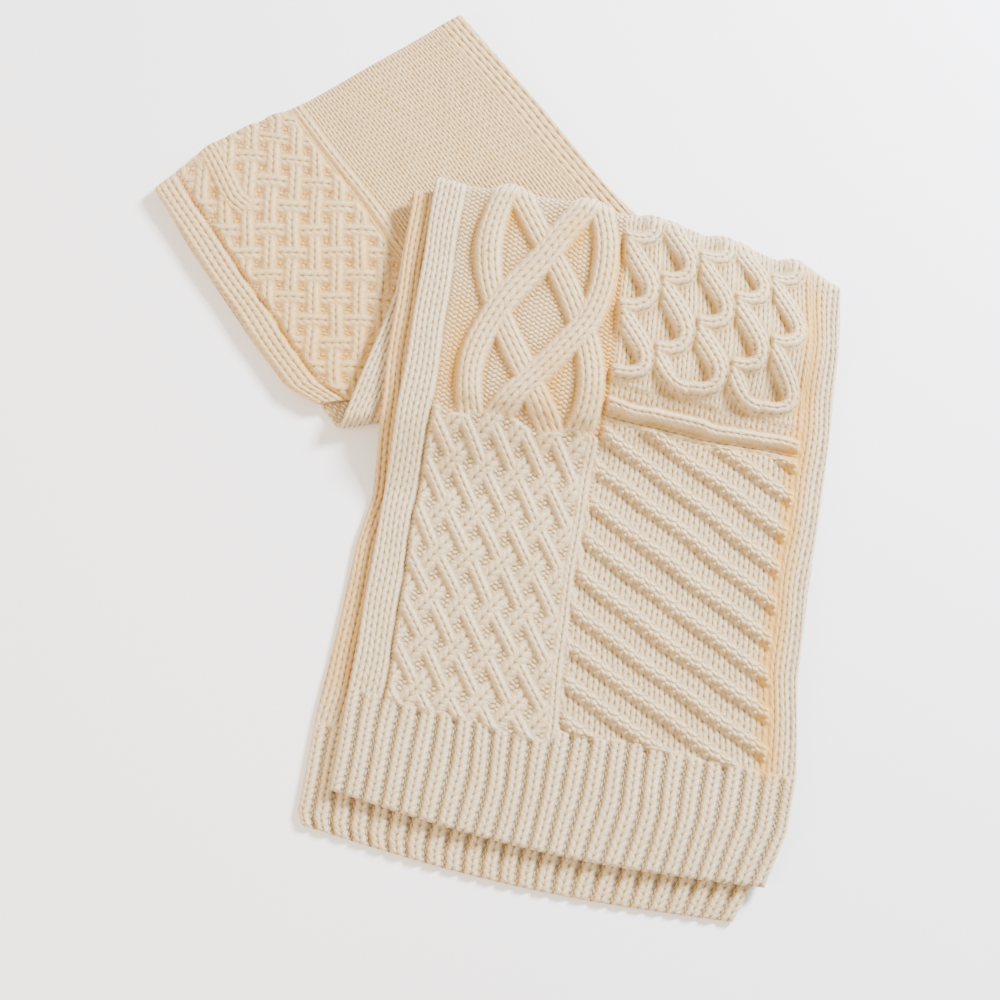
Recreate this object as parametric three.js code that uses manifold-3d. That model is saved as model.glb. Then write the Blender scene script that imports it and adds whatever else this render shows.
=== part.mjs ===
// A thick knit scarf with patchwork cable knitting, doubled end to end so that its two ribbed
// ends lie together, and then laid down in three runs: back, turned and front.
// Millimetres, +Z up. It rests on z = 0, with the origin under the middle of its bounding box.
import * as THREE from 'three';
import { mergeVertices } from 'three/addons/utils/BufferGeometryUtils.js';
import Module from 'manifold-3d';

const wasm = await Module();
wasm.setup();

// Cloth
const scarfWidth = 290;
const wall = 4.2;
const clearance = 0.3;
const slack = 0.85;
const layer = wall + clearance;
const pair = 2 * layer;
const openFold = layer + clearance / 2;
const shutFold = clearance / 2;
const edgeRoll = 2.6;
const edgeInset = 1.4;
const shoulder = { width: 2.5, sink: 0.8 };

// Raised knitting, over the plain wall
const raised = {
  rib: 1.5, border: 0.8, braid: 3.0, honeycomb: 3.0, trellis: 2.0, rope: 1.4, welt: 1.5, cord: 2.4,
};
const grooveDepth = 0.4;
const seamDepth = 1;

// Where the two long edges of each stretch lie on the table, a row for each section
const frontSections = [
  { along: 0, leftX: -110, leftY: -195, rightX: 168, rightY: -256 },
  { along: 30, leftX: -105, leftY: -166, rightX: 184, rightY: -222 },
  { along: 66, leftX: -99.5, leftY: -130, rightX: 192, rightY: -187 },
  { along: 130, leftX: -90, leftY: -67, rightX: 196, rightY: -125 },
  { along: 190, leftX: -80.5, leftY: -7, rightX: 206, rightY: -66 },
  { along: 250, leftX: -71, leftY: 52, rightX: 218, rightY: -6 },
  { along: 310, leftX: -62, leftY: 111, rightX: 228, rightY: 50 },
  { along: 370, leftX: -53, leftY: 171, rightX: 235, rightY: 98 },
  { along: 420, leftX: -46.5, leftY: 221.5, rightX: 237.5, rightY: 138.5 },
];
const underSections = [
  { along: 0, leftX: -128, leftY: -217, rightX: 148, rightY: -277 },
  { along: 10, leftX: -131, leftY: -208, rightX: 154, rightY: -267 },
  { along: 30, leftX: -128, leftY: -190, rightX: 168, rightY: -243 },
  { along: 70, leftX: -121, leftY: -146, rightX: 182, rightY: -192 },
  { along: 130, leftX: -108.5, leftY: -90, rightX: 188, rightY: -137 },
  { along: 190, leftX: -97, leftY: -30, rightX: 198, rightY: -80 },
  { along: 225, leftX: -87, leftY: 3, rightX: 204, rightY: -46 },
  { along: 250, leftX: -84, leftY: 28, rightX: 210, rightY: -22 },
  { along: 310, leftX: -79, leftY: 86, rightX: 220, rightY: 34 },
  { along: 370, leftX: -70.5, leftY: 150, rightX: 228, rightY: 88 },
  { along: 436, leftX: -62, leftY: 218, rightX: 236, rightY: 138 },
];
const turnedSections = [
  { along: 0, leftX: -62.5, leftY: 214, rightX: 235, rightY: 134 },
  { along: 70, leftX: -73, leftY: 147, rightX: 219, rightY: 118 },
  { along: 163, leftX: -106, leftY: 58, rightX: 190, rightY: 98 },
];
const backSections = [
  { along: 0, leftX: -127, leftY: 67, rightX: 187, rightY: 101 },
  { along: 22, leftX: -146, leftY: 78, rightX: 162, rightY: 130 },
  { along: 67, leftX: -171.5, leftY: 113, rightX: 113, rightY: 186 },
  { along: 100, leftX: -190.5, leftY: 141, rightX: 79, rightY: 229 },
  { along: 150, leftX: -219, leftY: 183, rightX: 29, rightY: 297 },
  { along: 201, leftX: -247, leftY: 226, rightX: -27, rightY: 368 },
];

// Straight lines on the table where one stretch drops off another, inner side on the left
const lowerFold = { x: -106, y: 58, toX: 190, toY: 98 };
const turnedRight = { x: 190, y: 98, toX: 235, toY: 134 };
const backRight = { x: 187, y: 101, toX: 65, toY: 251 };
const dropLength = { lowerFold: 66, turnedRight: 46, backRight: 52 };

const woolCream = new THREE.Color(0xe6d8c2);

function smoothStep(t) {
  const s = Math.min(1, Math.max(0, t));
  return s * s * (3 - 2 * s);
}

function range(start, end, step) {
  const count = Math.max(1, Math.round((end - start) / step));
  return Array.from({ length: count + 1 }, (unused, i) => start + ((end - start) * i) / count);
}

// Distance from a line, positive on its left hand
function leftOf(line, x, y) {
  const dx = line.toX - line.x;
  const dy = line.toY - line.y;
  return (dx * (y - line.y) - dy * (x - line.x)) / Math.hypot(dx, dy);
}

function drop(line, length, x, y) {
  return smoothStep(1 + leftOf(line, x, y) / length);
}

// How far the back run lifts what lies on it, and how far both runs lift the front run
function backLift(x, y) {
  return pair * drop(backRight, dropLength.backRight, x, y);
}

function frontLift(x, y) {
  const fold = drop(lowerFold, dropLength.lowerFold, x, y);
  const side = drop(turnedRight, dropLength.turnedRight, x, y);
  return fold * side * (pair + slack + backLift(x, y));
}

// The point at a share of the way from the left edge to the right one
function onTable(sections, along, share) {
  let i = 1;
  while (i < sections.length - 1 && along > sections[i].along) i += 1;
  const a = sections[i - 1];
  const b = sections[i];
  const t = (along - a.along) / (b.along - a.along);
  const mix = (key) => a[key] + t * (b[key] - a[key]);
  const x = mix('leftX') + share * (mix('rightX') - mix('leftX'));
  const y = mix('leftY') + share * (mix('rightY') - mix('leftY'));
  return new THREE.Vector2(x, y);
}

// Knitted relief in cloth sizes: u across from the left edge, v along from the hem

function wave(t) {
  return 0.5 + 0.5 * Math.cos(2 * Math.PI * t);
}

function dome(distance, halfWidth) {
  return Math.sqrt(Math.max(0, 1 - (distance / halfWidth) ** 2));
}

const rib = { period: scarfWidth / 23.5, topStart: 0.9, topEnd: 5.6, valleyStart: 7.2, valleyEnd: 10.8 };

function ribRelief(u) {
  const t = u % rib.period;
  return t > rib.topEnd + 0.5 && t < rib.period - 0.5 ? 0 : raised.rib;
}

const border = { width: 21, groove: 23, rightStart: 270, rightSeam: 284 };

function borderRelief(u) {
  if (Math.abs(u - border.rightSeam) < 1.5) return -grooveDepth;
  return u < border.width || u > border.rightStart + 2 ? raised.border : -grooveDepth;
}

// Four strands that plait across the patch, the one that runs down to the left always on top
const braid = { middle: 85, reach: 42, strand: 8, crossing: 387, step: 95, slope: 0.59, beneath: 0.62 };

function braidRelief(u, v) {
  const heights = [0, 1, 2, 3].map((k) => {
    const phase = ((v - braid.crossing) / braid.step + k + 100) % 4;
    const toTop = phase < 2 ? 1 : -1;
    const ahead = (phase < 2 ? phase : phase - 2) * braid.step;
    const swing = ahead < braid.step ? ahead : ahead - 2 * braid.step;
    const path = Math.max(-braid.reach, Math.min(braid.reach, braid.slope * swing));
    const centre = braid.middle + toTop * path;
    const share = toTop < 0 && Math.abs(path) < braid.reach ? braid.beneath : 1;
    return raised.braid * share * dome(u - centre, braid.strand);
  });
  return Math.max(...heights);
}

// Pairs of strands that part round a pocket and close again, each column half a step on
const honeycomb = {
  first: 152, column: 25.3, pocket: 372, step: 51, swing: 4, rest: 6.6, strand: 6.2, ground: 0.15,
};

function honeycombRelief(u, v) {
  const column = Math.round((u - honeycomb.first) / honeycomb.column);
  const phase = (v - honeycomb.pocket) / honeycomb.step + 0.5 * (column & 1);
  const centre = honeycomb.rest + honeycomb.swing * Math.cos(2 * Math.PI * phase);
  const aside = Math.abs(u - honeycomb.first - column * honeycomb.column);
  return raised.honeycomb * Math.max(dome(aside - centre, honeycomb.strand), honeycomb.ground);
}

// Two sets of slanting bars that cross over and under each other
const trellis = { across: 21, along: 28, downRight: 0.45, downLeft: -0.37 };

function weave(a, b) {
  const over = -Math.cos(Math.PI * a) * Math.cos(Math.PI * b);
  return Math.max(wave(a) * (0.75 + 0.25 * over), wave(b) * (0.75 - 0.25 * over));
}

function trellisRelief(u, v) {
  const a = u / trellis.across + v / trellis.along - trellis.downRight;
  const b = u / trellis.across - v / trellis.along - trellis.downLeft;
  return raised.trellis * weave(a, b);
}

const welts = { start: 136, first: 271.5, spacing: 24.6, slope: 0.37 };

function weltRelief(u, v) {
  return raised.welt * wave((v - welts.first + welts.slope * (u - welts.start)) / welts.spacing);
}

const patch = { ribTop: 63, leftSeam: 264, columnSeam: 137, ropeStart: 128.5, ropeEnd: 135.5 };
const cord = { middle: 288.5, half: 4.5 };

function frontRelief(u, v) {
  if (v < patch.ribTop) return ribRelief(u);
  if (u < border.groove || u > border.rightStart) return borderRelief(u);
  if (u < patch.columnSeam && v > patch.leftSeam) return braidRelief(u, v);
  if (u > patch.ropeStart && u < patch.ropeEnd) return raised.rope;
  if (u < patch.ropeStart) return trellisRelief(u, v);
  if (Math.abs(v - cord.middle) < cord.half) return raised.cord * dome(v - cord.middle, cord.half);
  return v > cord.middle ? honeycombRelief(u, v) : weltRelief(u, v);
}

// Skin from rows of points, each with its place t along its row. Where two rows have
// the same places, a square is split along the diagonal that keeps a ridge whole.
function skin(rows, alongs) {
  const points = [];
  const faces = [];
  const first = rows.map((row) => {
    const start = points.length;
    row.forEach((spot) => points.push(spot.point));
    return start;
  });
  for (let r = 1; r < rows.length; r += 1) {
    const low = rows[r - 1];
    const high = rows[r];
    let i = 0;
    let j = 0;
    while (i < low.length - 1 || j < high.length - 1) {
      const a = first[r - 1] + i;
      const b = first[r] + j;
      const nextLow = i < low.length - 1 ? low[i + 1].t : Infinity;
      const nextHigh = j < high.length - 1 ? high[j + 1].t : Infinity;
      const square = Math.abs(nextLow - nextHigh) < 1e-6;
      const keepLow = square && low[i + 1].height + high[j].height > low[i].height + high[j + 1].height;
      if (square ? keepLow : nextLow < nextHigh) {
        faces.push([a, a + 1, b]);
        i += 1;
      } else {
        faces.push([a, b + 1, b]);
        j += 1;
      }
      if (square) {
        if (keepLow) {
          faces.push([a + 1, b + 1, b]);
          j += 1;
        } else {
          faces.push([a, a + 1, b + 1]);
          i += 1;
        }
      }
    }
  }
  const rim = [];
  rows[0].forEach((spot, i) => rim.push(first[0] + i));
  for (let r = 1; r < rows.length; r += 1) rim.push(first[r] + rows[r].length - 1);
  for (let i = rows.at(-1).length - 2; i >= 0; i -= 1) rim.push(first.at(-1) + i);
  for (let r = rows.length - 2; r > 0; r -= 1) rim.push(first[r]);
  const sides = [rows[0].map((spot) => spot.t), alongs, rows.at(-1).map((spot) => -spot.t).reverse(),
    alongs.map((along) => -along).reverse()];
  return { points, faces, rim, sides };
}

// A closed wall between an outer skin and an inner one, joined round their rims side by side
function closeWall(outer, inner, mirrored = false) {
  const points = outer.points.concat(inner.points);
  const offset = outer.points.length;
  const faces = outer.faces.map((f) => [...f]);
  inner.faces.forEach((f) => faces.push([f[0] + offset, f[2] + offset, f[1] + offset]));
  let startOut = 0;
  let startIn = 0;
  outer.sides.forEach((placesOut, side) => {
    const placesIn = inner.sides[side];
    const countOut = placesOut.length - 1;
    const countIn = placesIn.length - 1;
    let i = 0;
    let j = 0;
    while (i < countOut || j < countIn) {
      const a = outer.rim[(startOut + i) % outer.rim.length];
      const b = inner.rim[(startIn + j) % inner.rim.length] + offset;
      if (j >= countIn || (i < countOut && placesOut[i + 1] <= placesIn[j + 1])) {
        faces.push([a, b, outer.rim[(startOut + i + 1) % outer.rim.length]]);
        i += 1;
      } else {
        faces.push([a, b, inner.rim[(startIn + j + 1) % inner.rim.length] + offset]);
        j += 1;
      }
    }
    startOut += countOut;
    startIn += countIn;
  });
  return faceMesh(points, mirrored ? faces.map((f) => [f[0], f[2], f[1]]) : faces);
}

function faceMesh(points, faces) {
  const geometry = new THREE.BufferGeometry();
  const flat = points.flatMap((p) => [p.x, p.y, p.z]);
  geometry.setAttribute('position', new THREE.Float32BufferAttribute(flat, 3));
  geometry.setIndex(faces.flat());
  return mergeVertices(geometry, 1e-4);
}

// The cloth's underside and its normal: along the table, round a fold, and back beneath it
function underside(stretch, along, share) {
  const { sections, lift, fold } = stretch;
  const end = fold ? fold.at : Infinity;
  const place = onTable(sections, Math.min(along, end), share);
  const bow = stretch.bow ? stretch.bow(along, share) : 0;
  const base = new THREE.Vector3(place.x, place.y + bow, lift(place.x, place.y));
  if (along <= end) return { point: base, normal: new THREE.Vector3(0, 0, 1) };
  const reach = fold.radius + wall / 2;
  const turn = Math.min(Math.PI, (along - end) / reach);
  const past = Math.max(0, along - end - Math.PI * reach);
  const left = onTable(sections, end, 0);
  const right = onTable(sections, end, 1);
  const line = right.sub(left).normalize();
  const out = new THREE.Vector2(-line.y * fold.side, line.x * fold.side);
  const slide = fold.slide * (turn * reach + past);
  const away = fold.radius * Math.sin(turn) - past;
  base.x += out.x * away + line.x * slide;
  base.y += out.y * away + line.y * slide;
  const depth = fold.radius * (1 - Math.cos(turn));
  const floor = turn < Math.PI ? base.z : lift(base.x, base.y);
  base.z = floor - depth;
  const normal = new THREE.Vector3(out.x * Math.sin(turn), out.y * Math.sin(turn), Math.cos(turn));
  return { point: base, normal };
}

// How far the outer skin sinks as it rolls over at a free edge
function roll(distance) {
  if (distance < 0.1) return edgeRoll;
  if (distance < shoulder.width) return shoulder.sink;
  return 0;
}

function outerRow(stretch, along, columns) {
  const free = stretch.freeStart ? roll(along) : 0;
  return columns.map((u) => {
    const { point, normal } = underside(stretch, along, u / scarfWidth);
    const sink = Math.max(free, roll(u), roll(scarfWidth - u));
    const faceUp = Math.max(0, 1 + Math.min(0, 1.3 * normal.z));
    const knit = sink > 0 ? 0 : faceUp * stretch.relief(u, along, point);
    const height = wall + knit - sink;
    return { t: u, height: knit - sink, point: point.clone().addScaledVector(normal, height) };
  });
}

function innerRow(stretch, along, columns) {
  return columns.map((u) => {
    const inset = Math.min(scarfWidth - edgeInset, Math.max(edgeInset, u));
    const from = stretch.freeStart ? Math.max(edgeInset, along) : along;
    return { t: u, height: 0, point: underside(stretch, from, inset / scarfWidth).point };
  });
}

function clothWall(stretch) {
  const { rows, innerRows } = stretch;
  const outer = skin(rows.map((along) => outerRow(stretch, along, stretch.columns(along))), rows);
  const inner = skin(innerRows.map((along) => innerRow(stretch, along, stretch.innerColumns)), innerRows);
  return closeWall(outer, inner, stretch.towardViewer);
}

const rolled = [0, 2];
const rolledRight = [scarfWidth - 2, scarfWidth];
const coarseColumns = [0, 24, 60, 100, 140, 180, 220, 260, scarfWidth];
const drapedColumns = [0, 30, 60, 90, 120, 140, ...range(155, 275, 15), scarfWidth];

const ribColumns = [];
for (let start = 0; start < scarfWidth - rib.topEnd; start += rib.period) {
  ribColumns.push(start + rib.topStart, start + rib.topEnd, start + rib.valleyStart, start + rib.valleyEnd);
}
const ribInner = ribColumns.filter((u) => u > rolled[1] && u < rolledRight[0]);
const ribRow = [...rolled, ...ribInner, ...rolledRight];

// Front run: ribbed end, patches of cable knitting, and the upper fold with its turned-under edge
const foldArc = (radius) => Math.PI * (radius + wall / 2);
const frontFold = { at: 420, radius: openFold + slack, side: 1, slide: -0.13 };
const frontTurn = frontFold.at + foldArc(frontFold.radius);
const frontReturn = frontTurn + 9;
const frontPatchRow = [
  ...rolled, 6, 12, 18, 21.5,
  ...range(24, 129, 5.25), 132.5, 137,
  ...range(141, 267.5, 5.06), 270, 274, 279, 284, 286, ...rolledRight,
];
const front = {
  sections: frontSections,
  lift: (x, y) => layer + slack + frontLift(x, y),
  relief: frontRelief,
  fold: frontFold,
  freeStart: true,
  bow: (along, share) => -9 * Math.sin(Math.PI * share) * (1 - smoothStep(along / 60)),
  rows: [
    0, 2, 5, 34, 61,
    ...range(66, 262, 7), 267, 273, 279, 284, 288.5, 293, 298,
    ...range(304.5, frontFold.at, 6.4), ...range(frontFold.at, frontTurn, 5.2).slice(1), frontReturn,
  ],
  columns: (along) => (along < patch.ribTop ? ribRow : frontPatchRow),
  innerRows: [
    0, 60, 120, 160, ...range(180, 300, 12), ...range(320, frontFold.at, 20),
    ...range(frontFold.at, frontTurn, 7).slice(1), frontReturn,
  ],
  innerColumns: drapedColumns,
};

// Under run: the scarf's other ribbed end, seen at the left and below the front hem
const underFold = { at: 436, radius: shutFold, side: 1, slide: -0.13 };
const underEnd = underFold.at - 3;
const underTurn = underFold.at + foldArc(shutFold);
function underRelief(u, v) {
  if (v < patch.ribTop) return ribRelief(u) - raised.rib;
  return u > border.width && u < border.groove + 1 ? -seamDepth : 0;
}
const under = {
  sections: underSections,
  lift: frontLift,
  relief: underRelief,
  fold: underFold,
  freeStart: true,
  bow: (along, share) => -8 * Math.sin(Math.PI * share) * (1 - smoothStep(along / 60)),
  rows: [
    0, 2, 5, 34, 61, ...range(70, 180, 27), ...range(190, 310, 12), ...range(331, underFold.at, 21),
    ...range(underFold.at, underTurn, 1.8).slice(1), underTurn + 3,
  ],
  columns: (along) => (along < patch.ribTop ? ribRow : [
    ...rolled, 6, 12, 18, 21, 24, ...drapedColumns.slice(1, -1), ...rolledRight]),
  innerRows: [0, 60, 120, 160, ...range(180, 300, 12), ...range(320, underEnd, 20)],
  innerColumns: drapedColumns,
};

// Turned run: comes back under the front and turns under again at the lower fold
const turnedFold = { at: 163, radius: openFold, side: -1, slide: -0.53 };
const turnedTurn = turnedFold.at + foldArc(openFold);
const turnedReturn = turnedTurn + 8;
const turned = {
  sections: turnedSections,
  lift: (x, y) => layer + backLift(x, y),
  relief: (u) => (Math.abs(u - border.groove) < 1.6 ? -seamDepth : 0),
  fold: turnedFold,
  towardViewer: true,
  rows: [
    ...range(0, turnedFold.at, 18), ...range(turnedFold.at, turnedTurn, 4.2).slice(1), turnedReturn,
  ],
  columns: () => [
    ...rolled, 6, 12, 18, 21, 23, 25, ...drapedColumns.slice(1, -1), ...rolledRight],
  innerRows: [
    ...range(0, turnedFold.at, 22), ...range(turnedFold.at, turnedTurn, 7).slice(1), turnedReturn,
  ],
  innerColumns: drapedColumns,
};

// Back run: the far half of the scarf, from under the turned run to the scarf's own middle fold
const backFold = { at: 201, radius: shutFold, side: 1, slide: 0 };
const backTurn = backFold.at + foldArc(shutFold);
const backBorder = { width: 19, groove: 21.5, rightStart: 268 };
const lattice = { x: -181, y: 178, across: 16.4, along: 17 };
const backRope = { start: 112, end: 120 };
const backCover = {
  left: { x: -106, y: 58, toX: -62, toY: 218 },
  top: { x: -62, y: 222, toX: 120, toY: 168 },
};

// How far a place on the back run is clear of the runs that lie on it
function clearOf(x, y) {
  return Math.max(leftOf(backCover.left, x, y), leftOf(backCover.top, x, y) - 10);
}

function uncovered(x, y) {
  return smoothStep((clearOf(x, y) - 2) / 8);
}

function backRelief(u, v, point) {
  const clear = uncovered(point.x, point.y);
  if (u < backBorder.width || u > backBorder.rightStart) return raised.border * clear;
  if (u < backBorder.groove) return -grooveDepth * clear;
  if (u > backRope.start && u < backRope.end) return raised.rope * clear;
  const a = (point.x - lattice.x) / lattice.across;
  const b = (point.y - lattice.y) / lattice.along;
  return u < backRope.start ? raised.trellis * weave(a, b) * clear : 0;
}

const backPlain = [124, 150, 180, 210, 240, 265, ...rolledRight];
const backFine = [...rolled, 6, 12, 18, 21, ...range(24, 118, 4.7), ...backPlain];
const backCoarse = [...rolled, 12, 21, 45, 70, 100, ...backPlain];
const back = {
  sections: backSections,
  lift: () => layer,
  relief: backRelief,
  fold: backFold,
  bow: (along, share) => 8 * Math.sin(Math.PI * Math.min(1, 2.2 * share)) * smoothStep((along - 120) / 80),
  rows: [
    0, ...range(7, backFold.at, 6.3), ...range(backFold.at, backTurn, 1.8).slice(1), backTurn + 3,
  ],
  columns: (along) => backFine.filter((u) => {
    const place = onTable(backSections, Math.min(along, backFold.at), u / scarfWidth);
    return backCoarse.includes(u) || clearOf(place.x, place.y) > -6;
  }),
  innerRows: [0, 50, 100, 150, backFold.at - 3],
  innerColumns: coarseColumns,
};

// Hidden layers: what lies unseen under the back and turned runs, as one rounded body
function slab(sections, rows, inner, bottom) {
  const place = (along, u, z) => {
    const spot = onTable(sections, along, u / scarfWidth);
    return new THREE.Vector3(spot.x, spot.y, bottom(spot.x, spot.y) + z);
  };
  const ends = [rows[0], rows.at(-1)];
  const across = [...rolled, ...inner, ...rolledRight];
  const top = rows.map((along) => across.map((u) => {
    const rim = ends.includes(along) || u === 0 || u === scarfWidth;
    return { t: u, height: 0, point: place(along, u, rim ? wall - edgeRoll : wall) };
  }));
  const bed = rows.map((along) => [0, ...inner, scarfWidth].map((u) => {
    const inset = Math.min(scarfWidth - edgeInset, Math.max(edgeInset, u));
    const from = Math.min(ends[1] - edgeInset, Math.max(ends[0] + edgeInset, along));
    return { t: u, height: 0, point: place(from, inset, 0) };
  }));
  return closeWall(skin(top, rows), skin(bed, rows));
}

function toSolid(geometry) {
  const position = new Float32Array(geometry.attributes.position.array);
  const index = new Uint32Array(geometry.index.array);
  return new wasm.Manifold(new wasm.Mesh({ numProp: 3, vertProperties: position, triVerts: index }));
}

function fromSolid(solid) {
  const mesh = solid.getMesh();
  const geometry = new THREE.BufferGeometry();
  geometry.setAttribute('position', new THREE.BufferAttribute(new Float32Array(mesh.vertProperties), 3));
  geometry.setIndex(Array.from(mesh.triVerts));
  return geometry;
}

const floorSections = [
  { along: 0, leftX: -124, leftY: 72, rightX: 200, rightY: 110 },
  { along: 12, leftX: -140, leftY: 78, rightX: 213, rightY: 125 },
  { along: 24, leftX: -150, leftY: 82, rightX: 180, rightY: 138 },
  { along: 67, leftX: -173.5, leftY: 113, rightX: 120, rightY: 189 },
  { along: 100, leftX: -192.5, leftY: 141, rightX: 81, rightY: 230 },
  { along: 150, leftX: -221, leftY: 183, rightX: 29, rightY: 295 },
  { along: 198, leftX: -244, leftY: 222, rightX: -27, rightY: 361 },
];
const middleSections = [
  { along: 0, leftX: -105, leftY: 61, rightX: 191, rightY: 101 },
  { along: 93, leftX: -74, leftY: 147, rightX: 219, rightY: 120 },
  { along: 146, leftX: -66, leftY: 199, rightX: 228, rightY: 124 },
];

function hiddenLayers() {
  const floorRows = [0, 2, 12, 24, 67, 100, 150, 196, 198];
  const upperRows = [0, 2, ...range(12, 136, 12), 144, 146];
  const floorLayer = slab(floorSections, floorRows, [60, 150, 240], () => 0);
  const upperLayer = slab(middleSections, upperRows, drapedColumns.slice(1, -1), backLift);
  return fromSolid(toSolid(floorLayer).add(toSolid(upperLayer)));
}

function knitMaterial() {
  return new THREE.MeshStandardMaterial({ color: woolCream, roughness: 0.95, metalness: 0 });
}

const geometries = {
  front_stretch: clothWall(front),
  under_stretch: clothWall(under),
  turned_stretch: clothWall(turned),
  back_stretch: clothWall(back),
  hidden_layers: hiddenLayers(),
};

const scarf = new THREE.Group();
Object.entries(geometries).forEach(([name, geometry]) => {
  const mesh = new THREE.Mesh(geometry, knitMaterial());
  mesh.name = name;
  scarf.add(mesh);
});

// The origin goes under the middle of the box
const box = new THREE.Box3().setFromObject(scarf);
const middle = box.getCenter(new THREE.Vector3());
scarf.position.set(-middle.x, -middle.y, 0);
scarf.updateMatrixWorld(true);

export default scarf;
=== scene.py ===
import math

import bmesh
import bpy
import numpy as np
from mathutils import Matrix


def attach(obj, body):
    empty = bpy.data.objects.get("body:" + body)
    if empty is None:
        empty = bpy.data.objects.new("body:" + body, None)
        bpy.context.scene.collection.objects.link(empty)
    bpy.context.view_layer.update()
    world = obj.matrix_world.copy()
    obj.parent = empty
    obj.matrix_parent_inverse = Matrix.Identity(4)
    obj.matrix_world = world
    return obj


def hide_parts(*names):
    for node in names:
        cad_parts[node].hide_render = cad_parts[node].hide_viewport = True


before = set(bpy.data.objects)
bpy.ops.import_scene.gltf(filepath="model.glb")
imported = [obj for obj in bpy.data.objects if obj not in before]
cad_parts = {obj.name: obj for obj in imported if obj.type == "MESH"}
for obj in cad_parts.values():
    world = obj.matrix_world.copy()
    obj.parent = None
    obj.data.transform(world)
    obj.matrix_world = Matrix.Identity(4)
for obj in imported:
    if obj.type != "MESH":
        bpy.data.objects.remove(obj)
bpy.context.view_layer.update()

# The scarf is laid in millimetres on the table, then shifted to the frame's origin
table = {"shiftX": 4.87, "shiftY": -46.5, "millimetre": 0.001}

cloth = {
    "width": 290.0,
    "wall": 4.2,
    "layer": 4.5,
    "slack": 0.85,
    "shutFold": 0.15,
    "openFold": 4.65,
    "rim": 2.4,           # how far in the free edges round over
    "stitchDepth": 0.9,   # from a yarn's top down to the groove beside it
    "stitchMiddle": 0.8,  # the share of that depth that lies beneath the pattern's own height
    "unevenness": 0.3,
    "pull": 0.65, "pullFrom": 22, "pullLength": 26,  # how a fold pulls its relief flat
}

# Where the two long edges of each stretch lie, a column for each section
frontSections = {
    "along": [0, 30, 66, 130, 190, 250, 310, 370, 420],
    "leftX": [-110, -105, -99.5, -90, -80.5, -71, -62, -53, -46.5],
    "leftY": [-195, -166, -130, -67, -7, 52, 111, 171, 221.5],
    "rightX": [168, 184, 192, 196, 206, 218, 228, 235, 237.5],
    "rightY": [-256, -222, -187, -125, -66, -6, 50, 98, 138.5],
}
underSections = {
    "along": [0, 10, 30, 70, 130, 190, 225, 250, 310, 370, 436],
    "leftX": [-128, -131, -128, -121, -108.5, -97, -87, -84, -79, -70.5, -62],
    "leftY": [-217, -208, -190, -146, -90, -30, 3, 28, 86, 150, 218],
    "rightX": [148, 154, 168, 182, 188, 198, 204, 210, 220, 228, 236],
    "rightY": [-277, -267, -243, -192, -137, -80, -46, -22, 34, 88, 138],
}
turnedSections = {
    "along": [0, 70, 163],
    "leftX": [-62.5, -73, -106],
    "leftY": [214, 147, 58],
    "rightX": [235, 219, 190],
    "rightY": [134, 118, 98],
}
backSections = {
    "along": [0, 22, 67, 100, 150, 201],
    "leftX": [-127, -146, -171.5, -190.5, -219, -247],
    "leftY": [67, 78, 113, 141, 183, 226],
    "rightX": [187, 162, 113, 79, 29, -27],
    "rightY": [101, 130, 186, 229, 297, 368],
}
floorSections = {
    "along": [0, 12, 24, 67, 100, 150, 198],
    "leftX": [-124, -140, -150, -173.5, -192.5, -221, -244],
    "leftY": [72, 78, 82, 113, 141, 183, 222],
    "rightX": [200, 213, 180, 120, 81, 29, -27],
    "rightY": [110, 125, 138, 189, 230, 295, 361],
}
middleSections = {
    "along": [0, 93, 146],
    "leftX": [-105, -74, -66],
    "leftY": [61, 147, 199],
    "rightX": [191, 219, 228],
    "rightY": [101, 120, 124],
}

# Straight lines where one stretch drops off another, from x, y to toX, toY
lowerFold = {"x": -106, "y": 58, "toX": 190, "toY": 98, "length": 66}
turnedRight = {"x": 190, "y": 98, "toX": 235, "toY": 134, "length": 46}
backRight = {"x": 187, "y": 101, "toX": 65, "toY": 251, "length": 52}


def smoothStep(t):
    s = np.clip(t, 0, 1)
    return s * s * (3 - 2 * s)


def leftOf(line, x, y):
    dx = line["toX"] - line["x"]
    dy = line["toY"] - line["y"]
    return (dx * (y - line["y"]) - dy * (x - line["x"])) / math.hypot(dx, dy)


def drop(line, x, y):
    return smoothStep(1 + leftOf(line, x, y) / line["length"])


def backLift(x, y):
    return 2 * cloth["layer"] * drop(backRight, x, y)


def frontLift(x, y):
    both = drop(lowerFold, x, y) * drop(turnedRight, x, y)
    return both * (2 * cloth["layer"] + cloth["slack"] + backLift(x, y))


def onTable(sections, along, share):
    at = np.clip(along, sections["along"][0], sections["along"][-1])

    def edge(key):
        return np.interp(at, sections["along"], sections[key])

    x = edge("leftX") + share * (edge("rightX") - edge("leftX"))
    y = edge("leftY") + share * (edge("rightY") - edge("leftY"))
    return x, y


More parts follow.
